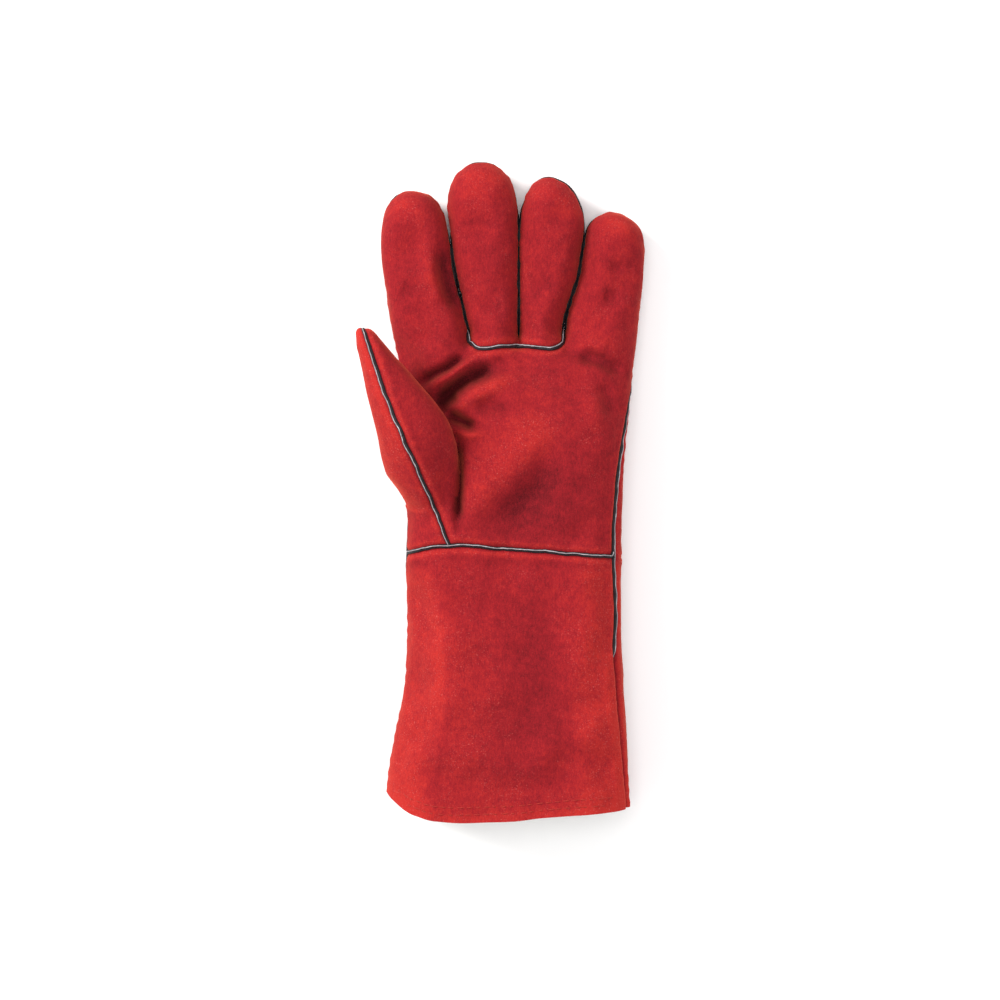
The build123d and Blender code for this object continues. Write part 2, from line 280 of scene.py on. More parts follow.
# the thumb presses the palm's near corner down
d_thumb, _ = to_segments(gx, gy, [(-42, 22), (-50, 42), (-60, 66)])
front = front - 15.5 * bell(d_thumb, 15.0) * smooth((gy - 12) / 20)
folds = stroke_field(STROKES)
power = 2.2 - 0.65 * smooth((-12 - gx) / 12) * smooth((-38 - gy) / 22)
calm = smooth((edge - 1) / 6)
uneven = 0.6 * waves(gx, gy, 34, 1) + 0.28 * waves(gx, gy, 15, 2)
front = front + folds + uneven * calm
soft_edge = blur(np.clip(edge, -40, 60), 2)
MAPS = {"edge": soft_edge, "rim": rim, "front": blur(front, 1), "back": back, "folds": folds, "power": power}


def sample(name, x, y):
    a = MAPS[name]
    fx = np.clip((x - xs[0]) / PLAN_CELL, 0, len(xs) - 1.001)
    fy = np.clip((y - ys[0]) / PLAN_CELL, 0, len(ys) - 1.001)
    i, j = fx.astype(int), fy.astype(int)
    u, v = fx - i, fy - j
    low = a[i, j] * (1 - u) * (1 - v) + a[i + 1, j] * u * (1 - v)
    return low + a[i, j + 1] * (1 - u) * v + a[i + 1, j + 1] * u * v


# ------------ thumb: (y, left, right, level, half height)
THUMB = [
    (-24, -44.5, -26.0, 20, 7), (-13, -47.0, -23.4, 24, 13), (0, -54.8, -22.8, 28.5, 18.5),
    (8, -60.2, -22.8, 31, 20), (14, -62.0, -23.2, 33.5, 20.5), (27, -64.5, -24.8, 39.5, 20.0),
    (36, -66.5, -27.6, 43, 18.2), (46, -69.0, -34.2, 45.5, 16.6), (57, -71.2, -43.2, 46.8, 15.4),
    (67, -73.2, -51.8, 47.6, 13.8), (75, -74.9, -59.0, 48, 11.8), (80.0, -75.3, -63.8, 48.2, 10.0),
    (83.0, -74.9, -66.8, 48.4, 7.8), (84.6, -74.2, -69.0, 48.5, 5.2), (85.4, -73.2, -70.4, 48.5, 2.6),
    (90, -72.4, -71.2, 48.5, 1.0),
]
th = np.array(THUMB, float)


def thumb_distance(x, y, z):
    left, right = table(th[:, [0, 1]], y), table(th[:, [0, 2]], y)
    level, half = table(th[:, [0, 3]], y), np.maximum(table(th[:, [0, 4]], y), 0.4)
    cx, a = (left + right) / 2, np.maximum((right - left) / 2, 0.4)
    r = np.sqrt(((x - cx) / a) ** 2 + ((z - level) / half) ** 2)
    d = (r - 1) * np.minimum(a, half)
    d = np.maximum(d, y - 85.4)
    return np.maximum(d, -26 - y)


def hand_distance(x, y, z):
    e, r = sample("edge", x, y), sample("rim", x, y)
    f, m = sample("front", x, y), sample("back", x, y)  # the back lies on the table, so m is the widest level
    half = np.where(z > m, f, m)
    u = np.maximum(1 - e / r, 0)
    v = np.abs(z - m) / half
    # the back is flattened by its own weight
    power = np.where(z > m, sample("power", x, y), 2.6)
    d = ((u**power + v**power) ** (1 / power) - 1) * np.minimum(r, half)
    return np.maximum(d, -0.05 - z)


def field(x, y, z):
    """Below zero inside the glove, in about millimetres."""
    a, b = hand_distance(x, y, z), thumb_distance(x, y, z)
    k = 0.5 + 3.5 * smooth((26 - y) / 10)
    h = np.clip(0.5 + 0.5 * (b - a) / k, 0, 1)
    return b * (1 - h) + a * h - k * h * (1 - h)


# ------------ from field to mesh
def surface_net(values, low, cell):
    """Points and four-sided faces of the zero surface of a grid of values."""
    neg = values < 0
    corners = [(i, j, k) for i in (0, 1) for j in (0, 1) for k in (0, 1)]
    n = np.array(values.shape) - 1
    count = sum(neg[i : n[0] + i, j : n[1] + j, k : n[2] + k].astype(np.int8) for i, j, k in corners)
    active = (count > 0) & (count < 8)
    index = np.full(active.shape, -1)
    cells = np.argwhere(active)
    index[tuple(cells.T)] = np.arange(len(cells))
    total, weight = np.zeros((len(cells), 3)), np.zeros(len(cells))
    for a in corners:
        for axis in range(3):
            if a[axis]:
                continue
            b = np.array(a)
            b[axis] = 1
            va = values[tuple((cells + a).T)]
            vb = values[tuple((cells + b).T)]
            hit = (va < 0) != (vb < 0)
            t = va[hit] / (va[hit] - vb[hit])
            total[hit] += np.array(a) + t[:, None] * (b - np.array(a))
            weight[hit] += 1
    points = low + cell * (cells + total / weight[:, None])
    faces = []
    for axis in range(3):
        o1, o2 = (axis + 1) % 3, (axis + 2) % 3
        lower = [slice(None)] * 3
        upper = [slice(None)] * 3
        lower[axis], upper[axis] = slice(0, -1), slice(1, None)
        change = neg[tuple(lower)] != neg[tuple(upper)]
        where = np.argwhere(change)
        ok = (where[:, o1] > 0) & (where[:, o2] > 0) & (where[:, o1] < n[o1]) & (where[:, o2] < n[o2])
        where = where[ok]
        flip = ~neg[tuple(where.T)]
        quad = []
        for d1, d2 in ((0, 0), (-1, 0), (-1, -1), (0, -1)):
            c = where.copy()
            c[:, o1] += d1
            c[:, o2] += d2
            quad.append(index[tuple(c.T)])
        quad = np.stack(quad, 1)
        quad[flip] = quad[flip][:, ::-1]
        faces.append(quad)
    return points, np.concatenate(faces)


def gradient(p, eps=0.4):
    out = np.zeros_like(p)
    for axis in range(3):
        step = np.zeros(3)
        step[axis] = eps
        out[:, axis] = (field(*(p + step).T) - field(*(p - step).T)) / (2 * eps)
    return out


def settle(p, level):
    """Moves points towards the surface where the field has that level, by 0.8 mm at most."""
    g = gradient(p)
    f = field(*p.T) - level
    step = f[:, None] * g / np.maximum((g**2).sum(1), 0.05)[:, None]
    size = np.linalg.norm(step, axis=1, keepdims=True)
    return p - step * np.minimum(1, 0.8 / np.maximum(size, 1e-9))


def relax(p, faces, times, level):
    """Evens out the points along the surface."""
    edges = np.concatenate([faces[:, [i, (i + 1) % 4]] for i in range(4)])
    edges = np.unique(np.sort(edges, 1), axis=0)
    degree = np.bincount(edges.ravel(), minlength=len(p))
    for _ in range(times):
        mean = np.zeros_like(p)
        for axis in range(3):
            mean[:, axis] = np.bincount(edges[:, 0], p[edges[:, 1], axis], len(p)) + np.bincount(
                edges[:, 1], p[edges[:, 0], axis], len(p)
            )
        mean /= np.maximum(degree, 1)[:, None]
        p = settle(p + 0.5 * (mean - p), level)
    return p


def vertex_normals(p, tris):
    a, b, c = p[tris[:, 0]], p[tris[:, 1]], p[tris[:, 2]]
    n = np.cross(b - a, c - a)
    out = np.zeros_like(p)
    for axis in range(3):
        for i in range(3):
            out[:, axis] += np.bincount(tris[:, i], n[:, axis], len(p))
    return unit(out)


def build_surface(level, cell, rounds):
    shape = np.round((HIGH - LOW) / cell).astype(int) + 1
    axes = [LOW[i] + cell * np.arange(shape[i]) for i in range(3)]
    x2, y2 = np.meshgrid(axes[0], axes[1], indexing="ij")
    values = np.empty(shape)
    for k, z in enumerate(axes[2]):
        values[:, :, k] = field(x2, y2, np.full(x2.shape, z)) - level
    points, quads = surface_net(values, LOW, cell)
    points = relax(points, quads, rounds, level)
    tris = np.concatenate([quads[:, [0, 1, 2]], quads[:, [0, 2, 3]]])
    return points, tris


# ------------ seams, as fields that are zero on the seam
CROTCH_Y = 28.0
WRIST_LINE = [
    (-70, -35), (-51, -33), (-43, -31), (-27, -28.7), (-0.5, -30.3), (31.4, -32.5), (57, -34.6), (80, -35.5),
]
ROOT_LEFT, ROOT_RIGHT = -17.3, 33.4  # the middle and ring fingers' roots lie between these
ROOT_LINE = [
    (-17.3, 79.5), (-15.6, 78.4), (-13.4, 76.4), (-9, 75.6), (-3, 76.2), (4, 77.0), (9.4, 77.4), (15, 76.7),
    (22, 75.6), (28, 75.8), (31, 77.2), (33.4, 80),
]
THUMB_LINE = [
    (-35, -25.5), (-28.7, -27.4), (-15, -32.5), (-2, -37.8), (12, -44), (27, -50.6), (40, -56.2), (55, -61.6),
    (63, -64.2), (72, -67.4), (80, -70.0), (86, -71.4), (95, -72.0),
]
HEM_LINE = [
    (-70, -151), (-62, -158.8), (-60, -161.2), (-56, -164.4), (-51.6, -167.4), (-47.3, -169.6), (-43, -170.8),
    (-38.8, -172), (-30.3, -173.1), (-20, -173.6), (-5, -173.2), (8, -172.6), (20.7, -171.2), (33.5, -170.1),
    (46.3, -169.3), (54.8, -168.7), (63.3, -168), (68, -167.4), (80, -166),
]
# how far inside the right silhouette the outseam shows on the palm side, along y
SEAM_INSET = [
    (-190, 1.6), (-165, 1.7), (-140, 3.0), (-110, 4.6), (-85, 4.8), (-63, 3.4), (-37, 4.3), (-10, 4.4),
    (19, 2.7), (40, 1.0), (50, 0.3), (70, 0.1),
]
# where the side seam rises: centre, spread, height
SEAM_BUMPS = [
    (-57, 156.5, 9, 10.5), (-11, 176, 10, 4.0), (30, 168, 11, 5.4), (43, 155, 11, 5.2), (75.5, 136, 8, 9.5),
]

SLIT_RISE = [(146, 2.6), (160, 2.8), (152, 1.4)]  # between two fingers: up to which y, and how much


def slit_x(i, y):
    line = np.array(SLITS[i], float)
    return np.interp(y, line[:, 1], line[:, 0])


def seam_level(x, y):
    """Height of the seam between the palm side and the back, all round."""
    m = sample("back", x, y)
    outer = smooth((-36 - x) / 8) * smooth((y - 66) / 14) + smooth((x - 64) / 5) * smooth((y - 54) / 14)
    low = m - 2.6 - 6.4 * outer
    left_hand = smooth((-20 - x) / 10) * smooth((76 - y) / 10)
    level = low + left_hand * (2.2 - 7.0 * smooth((-38 - y) / 12))
    u = np.clip(1 - table(SEAM_INSET, y) / table(RIM, y), 0, 1)
    shown = m + table(FRONT_HEIGHT, y) * (1 - u**2.2) ** (1 / 2.2)
    right_hand = smooth((x - 30) / 10) * smooth((66 - y) / 18)
    level = level + right_hand * (shown - level)
    for px, py, spread, rise in SEAM_BUMPS:
        level = level + rise * np.exp(-((x - px) ** 2 + (y - py) ** 2) / spread**2)
    for i, (top, rise) in enumerate(SLIT_RISE):
        near = bell(x - slit_x(i, y), 4.5)
        level = level + rise * near * smooth((y - 83) / 10) * smooth((top - y) / 14)
    return level


def seam_fields(p):
    x, y, z = p.T
    s = {}
    s["side"] = z - seam_level(x, y)
    s["wrist"] = y - table(WRIST_LINE, x)
    s["root"] = y - np.where((x > ROOT_LEFT) & (x < ROOT_RIGHT), table(ROOT_LINE, x), ROOT_Y)
    s["thumb_line"] = x - table(THUMB_LINE, y)
    s["hem"] = y - table(HEM_LINE, x)
    return s


def on_thumb(p):
    return thumb_distance(*p.T) < hand_distance(*p.T)


def seam_distance(p, n, s):
    """Distance from the nearest seam that can be seen from outside, in millimetres."""
    steep = np.sqrt(np.clip(1 - n[:, 2] ** 2, 0.1, 1))
    thumb = on_thumb(p)
    x, y, _ = p.T
    far = np.full(len(p), 99.0)
    d_side = np.where(thumb, far, np.abs(s["side"]) / np.maximum(steep, 0.5))
    d_wrist = np.abs(s["wrist"]) + 1.6 * smooth((-1 - s["side"]) / 3)
    d_root = np.where((x > ROOT_LEFT) & (x < ROOT_RIGHT) & (s["side"] > 0), np.abs(s["root"]), far)
    seen = (thumb & (y > CROTCH_Y)) | ((s["side"] > 4) & (s["wrist"] > -1) & (y <= CROTCH_Y))
    d_thumb = np.where(seen, np.abs(s["thumb_line"]) * 0.93, far)
    return np.minimum.reduce([d_side, d_wrist, d_root, d_thumb])


def shape_seams(p, n, s):
    """Leather turns in at every seam: a groove, with a slight swelling beside it."""
    d = seam_distance(p, n, s)
    pucker = 1 + 0.35 * waves(p[:, 0], p[:, 1], 7, 21)
    depth = -1.2 * bell(d, 1.8) + 0.5 * pucker * bell(d - 4.4, 2.4)
    hidden = smooth((-84 - p[:, 1]) / 8) * smooth((p[:, 0] - 30) / 10)
    depth = depth - 1.6 * hidden * bell(d, 1.5)
    return p + n * depth[:, None]


def shape_lining(p, n, s):
    """The lining keeps clear of the folded outseam and of the gaps between fingers."""
    x, y, _ = p.T
    hidden = smooth((-76 - y) / 10) * smooth((x - 26) / 10)
    depth = -3.0 * hidden * bell(seam_distance(p, n, s), 4.6)
    gap = np.min([np.abs(x - slit_x(i, y)) for i in range(3)], axis=0)
    depth = depth - 4.5 * smooth((y - 78) / 3) * bell(gap, 3.2) * np.abs(n[:, 2])
    return p + n * depth[:, None]


TIP_WEAR = [  # abraded spots on the fingertips: centre, radius
    (-52, 152, 8), (-14, 165, 10), (-2, 168, 7), (22, 160, 8), (37, 152, 7), (69, 140, 7), (60, 143, 7),
]


def tone_of(p, n, s):
    """How light the nap is: painted shade in the folds and the seam grooves, painted highlight on ridges,
    beside the seams (there partly rub wear too) and on the sides facing the key light at the left.
    """
    x, y, z = p.T
    thumb = on_thumb(p)
    d = seam_distance(p, n, s)
    palm_side = smooth((n[:, 2] + 0.1) / 0.3) * ~thumb
    # painted shade in the valleys of the folds, painted highlight on their ridges
    painted_fold_shading = np.clip(sample("folds", x, y) / 5.0, -1.9, 0.6) * palm_side
    # painted shade in the seam grooves; lighter beside them, partly rub wear and partly painted highlight
    seam_shade_and_rub = 0.6 * bell(d - 2.9, 1.4) - 0.5 * bell(d, 1.2)
    hem = 0.3 * bell(s["hem"] - 1.0, 3.0) + 0.4 * bell(s["hem"], 15.0)
    # painted highlight on the sides that face the key light at the left, on the cuff and the thumb
    outward = smooth((-n[:, 0] - 0.12) / 0.5) * smooth((z - 6) / 8)
    painted_left_light = outward * (0.6 * smooth((-36 - y) / 12) + 0.55 * thumb)
    # painted shade along the hidden outseam low on the cuff's right, and on the back panel's strip beside it
    below_fold = smooth((-60 - y) / 20) * smooth((x - 30) / 10)
    painted_slit_shade = below_fold * (-1.5 * bell(d, 1.6) - 0.15 * smooth((0.5 - s["side"]) / 1.5))
    shade = -0.5 * np.exp(-(((x - 16) / 30) ** 2) - ((y + 8) / 19) ** 2)
    cuff_right = 0.45 * smooth((x - 34) / 14) * smooth((-36 - y) / 8)
    tips = sum(np.exp(-((x - a) ** 2 + (y - b) ** 2) / r**2) for a, b, r in TIP_WEAR)
    return painted_fold_shading * 0.9 + seam_shade_and_rub + hem + painted_left_light + painted_slit_shade + (0.5 * tips + shade + cuff_right) * palm_side


# ------------ slack leather, by cloth simulation
SLACK_CELL = 4.5
SLACK_FRAMES = 20
SLACK_CAP = 2.2


def simulate_slack():
    """How each point of a coarse skin moves when the glove is blown up with its seams held, in mm."""
    p, tris = build_surface(0.0, SLACK_CELL, 2)
    s = seam_fields(p)
    n = vertex_normals(p, tris)
    d = np.minimum(seam_distance(p, n, s), np.abs(s["hem"] - 5) * 0.5)
    held = 1 - smooth((d - 3.0) / 5.0)
    held = np.maximum(held, 1 - smooth((p[:, 2] - 0.6) / 3.0))  # the back lies on the table
    mesh = bpy.data.meshes.new("slack")
    mesh.from_pydata((p * MM).tolist(), [], tris.tolist())
    obj = add_object("slack", mesh)
    group = obj.vertex_groups.new(name="held")
    for i, w in enumerate(held):
        if w > 0.01:
            group.add([i], float(w), "REPLACE")
    cloth = obj.modifiers.new("cloth", "CLOTH")
    c = cloth.settings
    c.quality, c.mass, c.air_damping = 5, 0.25, 4.0
    c.tension_stiffness = c.compression_stiffness = 12
    c.shear_stiffness, c.bending_stiffness = 4, 5.0
    c.vertex_group_mass = "held"
    c.use_pressure, c.uniform_pressure_force = True, 4.0
    c.shrink_min = -0.016
    c.effector_weights.gravity = 0
    cloth.collision_settings.use_collision = False
    cloth.collision_settings.use_self_collision = False
    cloth.point_cache.frame_start, cloth.point_cache.frame_end = 1, SLACK_FRAMES
    scene = bpy.context.scene
    for frame_number in range(1, SLACK_FRAMES + 1):
        scene.frame_set(frame_number)
    graph = bpy.context.evaluated_depsgraph_get()
    result = obj.evaluated_get(graph).to_mesh()
    moved = np.empty(len(p) * 3)
    result.vertices.foreach_get("co", moved)
    out = ((moved.reshape(-1, 3) / MM - p) * n).sum(1)
    scene.frame_set(1)
    bpy.data.objects.remove(obj, do_unlink=True)
    bpy.data.meshes.remove(mesh)
    print("slack", np.percentile(out, [0, 5, 50, 95, 100]).round(2))
    out = out - np.median(out[held < 0.05])
    edges = triangle_edges(tris)
    degree = np.bincount(edges[:, 0], minlength=len(p))
    for _ in range(2):
        out = 0.5 * out + 0.5 * (np.bincount(edges[:, 0], out[edges[:, 1]], len(p)) / degree)
    return p, n, n * np.clip(out, -SLACK_CAP, SLACK_CAP)[:, None] * (1 - held)[:, None]


def add_slack(p, n):
    """The slack of the coarse skin, carried over to a finer one."""
    out = np.zeros_like(p)
    for i in range(len(p)):
        total = 0.0
        for _, j, distance in SLACK_TREE.find_n(p[i], 7):
            if SLACK_NORMAL[j] @ n[i] > 0.3:
                w = 1.0 / (distance + 1.0) ** 2
                out[i] += w * SLACK_MOVE[j]
                total += w
        out[i] /= max(total, 1e-9)
    return p + out


# ------------ cutting sheets along fields
class Sheet:
    """A triangle mesh whose points carry position, normal and seam fields."""

    def __init__(self, data, names, tris):
        self.data, self.names, self.tris = data, names, tris

    def get(self, name):
        return self.data[:, self.names.index(name)]

    @property
    def co(self):
        return self.data[:, 0:3]

    @property
    def no(self):
        return unit(self.data[:, 3:6])

    def compact(self, tris):
        used = np.unique(tris)
        remap = np.zeros(len(self.data), int)
        remap[used] = np.arange(len(used))
        return Sheet(self.data[used], self.names, remap[tris])

    def pick(self, keep):
        """The faces whose flags are set, and the rest."""
        return self.compact(self.tris[keep]), self.compact(self.tris[~keep])

    def cut(self, s):
        """Two sheets: where s is above zero, and where it is below."""
        s = np.where(np.abs(s) < 0.06, 0.0, s)
        sign = np.sign(s)
        t = self.tris
        st = sign[t]
        above = st.max(1) > 0
        below = st.min(1) < 0
        mixed = above & below
        keep_up, keep_down = [t[~below & above]], [t[~above & below]]
        flat = ~above & ~below
        keep_up.append(t[flat])
        new, made = [], {}
        base = len(self.data)

        def crossing(i, j):
            key = (i, j) if i < j else (j, i)
            if key not in made:
                u = s[i] / (s[i] - s[j])
                made[key] = base + len(new)
                new.append(self.data[i] * (1 - u) + self.data[j] * u)
            return made[key]

        up, down = [], []
        for tri in t[mixed]:
            loop = []
            for k in range(3):
                i, j = tri[k], tri[(k + 1) % 3]
                loop.append((i, sign[i]))
                if sign[i] * sign[j] < 0:
                    loop.append((crossing(i, j), 0))
            for target, want in ((up, 1), (down, -1)):
                ring = [i for i, g in loop if g * want >= 0]
                for k in range(1, len(ring) - 1):
                    target.append((ring[0], ring[k], ring[k + 1]))
        data = np.concatenate([self.data, np.array(new).reshape(-1, self.data.shape[1])])
        whole = Sheet(data, self.names, None)
        first = np.concatenate(keep_up + [np.array(up, int).reshape(-1, 3)])
        second = np.concatenate(keep_down + [np.array(down, int).reshape(-1, 3)])
        return whole.compact(first), whole.compact(second)

    def rim(self):
        """Edges with a face on one side only, each in its face's direction."""
        e = triangle_edges(self.tris)
        _, first, count = np.unique(np.sort(e, 1), axis=0, return_index=True, return_counts=True)
        return e[first[count == 1]]


def joined(*sheets):
    data, tris, base = [], [], 0
    for s in sheets:
        data.append(s.data)
        tris.append(s.tris + base)
        base += len(s.data)
    return Sheet(np.concatenate(data), sheets[0].names, np.concatenate(tris))


def make_sheet(level, cell, rounds, shape):
    """The skin at a level of the field, shaped along its seams, with its slack, cut off at the hem."""
    p, tris = build_surface(level, cell, rounds)
    s = seam_fields(p)
    thumb = on_thumb(p).astype(float)
    tone = tone_of(p, vertex_normals(p, tris), s)
    p = shape(p, vertex_normals(p, tris), s)
    p = add_slack(p, vertex_normals(p, tris))
    p[:, 2] = np.maximum(p[:, 2], -0.05 - level)
    n = vertex_normals(p, tris)
    names = ["x", "y", "z", "nx", "ny", "nz", "thumb", "tone"] + list(s)
    data = np.column_stack([p, n, thumb, tone] + [s[k] for k in s])
    sheet = Sheet(data, names, tris)
    return sheet.cut(sheet.get("hem"))[0]


def by_finger(sheet):
    """Splits a sheet of all four fingers along the lines between them."""
    out = []
    for i in range(3):
        rest, one = sheet.cut(sheet.co[:, 0] - slit_x(i, sheet.co[:, 1]))
        out.append(one)
        sheet = rest
    return out + [sheet]


def split_thumb(sheet):
    """The thumb from a little below its crotch, and everything else."""
    on_tube = sheet.get("thumb")[sheet.tris].min(1) > 0.5
    return sheet.pick(on_tube & (sheet.co[sheet.tris][:, :, 1].max(1) > CROTCH_Y - 2))


def panels(sheet):
    """Every leather panel as its own sheet, by name."""
    out = {}
    tube, rest = split_thumb(sheet)
    tube, foot = tube.cut(tube.co[:, 1] - CROTCH_Y)
    out["thumb_inner"], out["thumb_outer"] = tube.cut(tube.get("thumb_line"))
    rest = joined(rest, foot)
    front_all, back_all = rest.cut(rest.get("side"))
    for name, part in (("front", front_all), ("back", back_all)):
        hand, out[f"cuff_{name}"] = part.cut(part.get("wrist"))
        root = hand.get("root") if name == "front" else hand.co[:, 1] - ROOT_Y
        fingers, palm = hand.cut(root)
        for finger, one in zip(FINGER_NAMES, by_finger(fingers)):
            out[f"{finger}_{name}"] = one
        out[f"hand_{name}"] = palm
    palm = out["hand_front"]
    y = palm.co[:, 1]
    out["hand_front"], out["heel"] = palm.cut(np.where(y < CROTCH_Y, palm.get("thumb_line"), 5.0))
    return out


# ------------ materials
class Nodes:
    """A small helper for writing node trees."""

    def __init__(self, name):
        self.mat = bpy.data.materials.new(name)
        self.mat.use_nodes = True
        self.tree = self.mat.node_tree
        self.tree.nodes.clear()
        self.out = self.add("ShaderNodeOutputMaterial")
        self.bsdf = self.add("ShaderNodeBsdfPrincipled")
        self.link(self.bsdf.outputs[0], self.out.inputs[0])
        self.coords = self.add("ShaderNodeTexCoord").outputs["Object"]

    def add(self, kind, **inputs):
        node = self.tree.nodes.new(kind)
        self.put(node, **inputs)
        return node

    def put(self, node, **inputs):
        for key, value in inputs.items():
            self.fill(node.inputs[key.replace("_", " ")], value)

    def fill(self, socket, value):
        if isinstance(value, bpy.types.NodeSocket):
            self.link(value, socket)
        else:
            socket.default_value = value

    def link(self, a, b):
        self.tree.links.new(a, b)

    def stretched(self, scale):
        node = self.add("ShaderNodeMapping", Scale=scale)
        self.link(self.coords, node.inputs["Vector"])
        return node.outputs[0]

    def noise(self, size_mm, detail=4.0, rough=0.55, vector=None):
        node = self.add("ShaderNodeTexNoise", Scale=1.0 / (size_mm * MM), Detail=detail, Roughness=rough)
        self.link(vector or self.coords, node.inputs["Vector"])
        return node.outputs["Fac"]

    def ramp(self, fac, *stops):
        node = self.add("ShaderNodeValToRGB")
        self.link(fac, node.inputs[0])
        elements = node.color_ramp.elements
        while len(elements) < len(stops):
            elements.new(0.5)
        for element, (at, colour) in zip(elements, stops):
            element.position = at
            element.color = (*colour, 1) if isinstance(colour, tuple) else (colour, colour, colour, 1)
        return node.outputs[0]

    def mix(self, fac, a, b):
        """Colour a, and colour b over it where fac is 1."""
        node = self.tree.nodes.new("ShaderNodeMix")
        node.data_type = "RGBA"
        for at, value in ((0, fac), (6, a), (7, b)):  # 6 and 7 are its colour sockets
            self.fill(node.inputs[at], (*value, 1) if isinstance(value, tuple) else value)
        return node.outputs[2]

    def math(self, op, a, b):
        node = self.tree.nodes.new("ShaderNodeMath")
        node.operation = op
        self.fill(node.inputs[0], a)
        self.fill(node.inputs[1], b)
        return node.outputs[0]

    def bump(self, height, distance_mm, strength=1.0, under=None):
        node = self.add("ShaderNodeBump", Distance=distance_mm * MM, Strength=strength, Height=height)
        if under is not None:
            self.link(under, node.inputs["Normal"])
        return node.outputs[0]


def suede(name, dark, mid, light, fleck):
    """Napped split leather: uneven dye, brushed fibre, a few pale flecks, painted shade and highlight from
    the tone attribute, and a velvet sheen.
    """
    m = Nodes(name)
    # the tone attribute: painted shade and highlight from the mesh, with some fingertip wear in it
    painted_light_and_wear = m.tree.nodes.new("ShaderNodeAttribute")
    painted_light_and_wear.attribute_name = "tone"
    blotch = m.noise(24, 3, 0.5)
    cloudy = m.noise(5.0, 5, 0.62)
    brushed = m.noise(0.9, 3, 0.6, m.stretched((1.0, 0.35, 1.0)))
    fibre = m.noise(0.42, 2, 0.6)
    tone = m.math("MULTIPLY", blotch, 0.10)
    for part, weight in ((cloudy, 0.24), (brushed, 0.28), (fibre, 0.38), (painted_light_and_wear.outputs["Fac"], 0.17)):
        tone = m.math("ADD", tone, m.math("MULTIPLY", part, weight))
    # the deepest stop is reached mostly where painted shade in the folds lowers the tone
    deepest = tuple(0.42 * c for c in dark)
    colour = m.ramp(tone, (0.2, deepest), (0.33, dark), (0.5, mid), (0.68, light))
    specks = m.ramp(m.noise(0.7, 2, 0.5), (0.60, 0.0), (0.75, 1.0))
    # pale flecks gather where the tone is light, so they follow the painted highlights as well as wear
    fleck_patch_and_tone = m.math("ADD", m.noise(13, 2, 0.5), m.math("MULTIPLY", painted_light_and_wear.outputs["Fac"], 0.45))
    patches = m.ramp(fleck_patch_and_tone, (0.48, 0.08), (0.80, 1.0))
    colour = m.mix(m.math("MULTIPLY", specks, patches), colour, fleck)
    m.put(m.bsdf, Base_Color=colour, Roughness=0.95, Specular_IOR_Level=0.12)
    m.put(m.bsdf, Sheen_Weight=0.42, Sheen_Roughness=0.38, Sheen_Tint=(1.0, 0.17, 0.08, 1))
    pebble = m.bump(m.noise(2.4, 3, 0.55), 0.26, 0.5)
    nap = m.bump(brushed, 0.15, 0.7, pebble)
    m.put(m.bsdf, Normal=m.bump(fibre, 0.10, 0.6, nap))
    return m.mat


def coated(name, base, light, rough):
    """The welt's coated strip: fine grain and scuffs."""
    m = Nodes(name)
    grain = m.noise(0.5, 3, 0.6)
    wear = m.ramp(m.noise(3.5, 4, 0.6), (0.45, base), (0.72, light))
    m.put(m.bsdf, Base_Color=wear, Roughness=m.math("ADD", m.math("MULTIPLY", grain, 0.25), rough))
    m.put(m.bsdf, Specular_IOR_Level=0.3, Normal=m.bump(grain, 0.06, 0.6))
    return m.mat


def fleece(name, base, light):
    m = Nodes(name)
    tuft = m.noise(0.8, 4, 0.65)
    m.put(m.bsdf, Base_Color=m.ramp(tuft, (0.35, base), (0.65, light)), Roughness=0.97)
    m.put(m.bsdf, Sheen_Weight=0.6, Normal=m.bump(tuft, 0.4, 0.8))
    return m.mat


def canvas(name, base, light):
    """A plain weave of thick natural threads, 0.9 mm apart."""
    m = Nodes(name)
    scale = 1 / (0.9 * MM) / 6.28 * 2
    parts = []
    for direction in ("X", "Y"):
        wave = m.add("ShaderNodeTexWave", Scale=scale, Distortion=1.2, Detail=2.0)
        wave.bands_direction = direction
        m.link(m.coords, wave.inputs["Vector"])
        parts.append(wave.outputs["Fac"])
    weave = m.math("MULTIPLY", parts[0], parts[1])
    m.put(m.bsdf, Base_Color=m.ramp(weave, (0.1, base), (0.8, light)), Roughness=0.95)
    m.put(m.bsdf, Sheen_Weight=0.3, Normal=m.bump(weave, 0.3, 0.7))
    return m.mat


def thread_material(name, base, light):
    m = Nodes(name)
    twist = m.noise(0.35, 2, 0.5, m.stretched((1.0, 2.2, 1.0)))
    m.put(m.bsdf, Base_Color=m.ramp(twist, (0.4, base), (0.62, light)), Roughness=0.7)
    m.put(m.bsdf, Specular_IOR_Level=0.1, Normal=m.bump(twist, 0.12, 0.8))
    return m.mat


RED = suede(
    "red_suede",
    dark=(0.112, 0.005, 0.0085), mid=(0.232, 0.0088, 0.0135), light=(0.385, 0.0195, 0.0165),
    fleck=(0.45, 0.074, 0.064),
)
CUT_EDGE = suede(
    "red_suede_cut",
    dark=(0.12, 0.005, 0.008), mid=(0.22, 0.009, 0.011), light=(0.34, 0.02, 0.016), fleck=(0.45, 0.12, 0.1),
)
BLACK = coated("welt_black", (0.007, 0.005, 0.007), (0.018, 0.014, 0.018), 0.5)
# the welt's pale top is its cut edge, coloured partly as a painted highlight
GREY = coated("welt_edge_grey", (0.24, 0.213, 0.228), (0.5, 0.465, 0.485), 0.6)
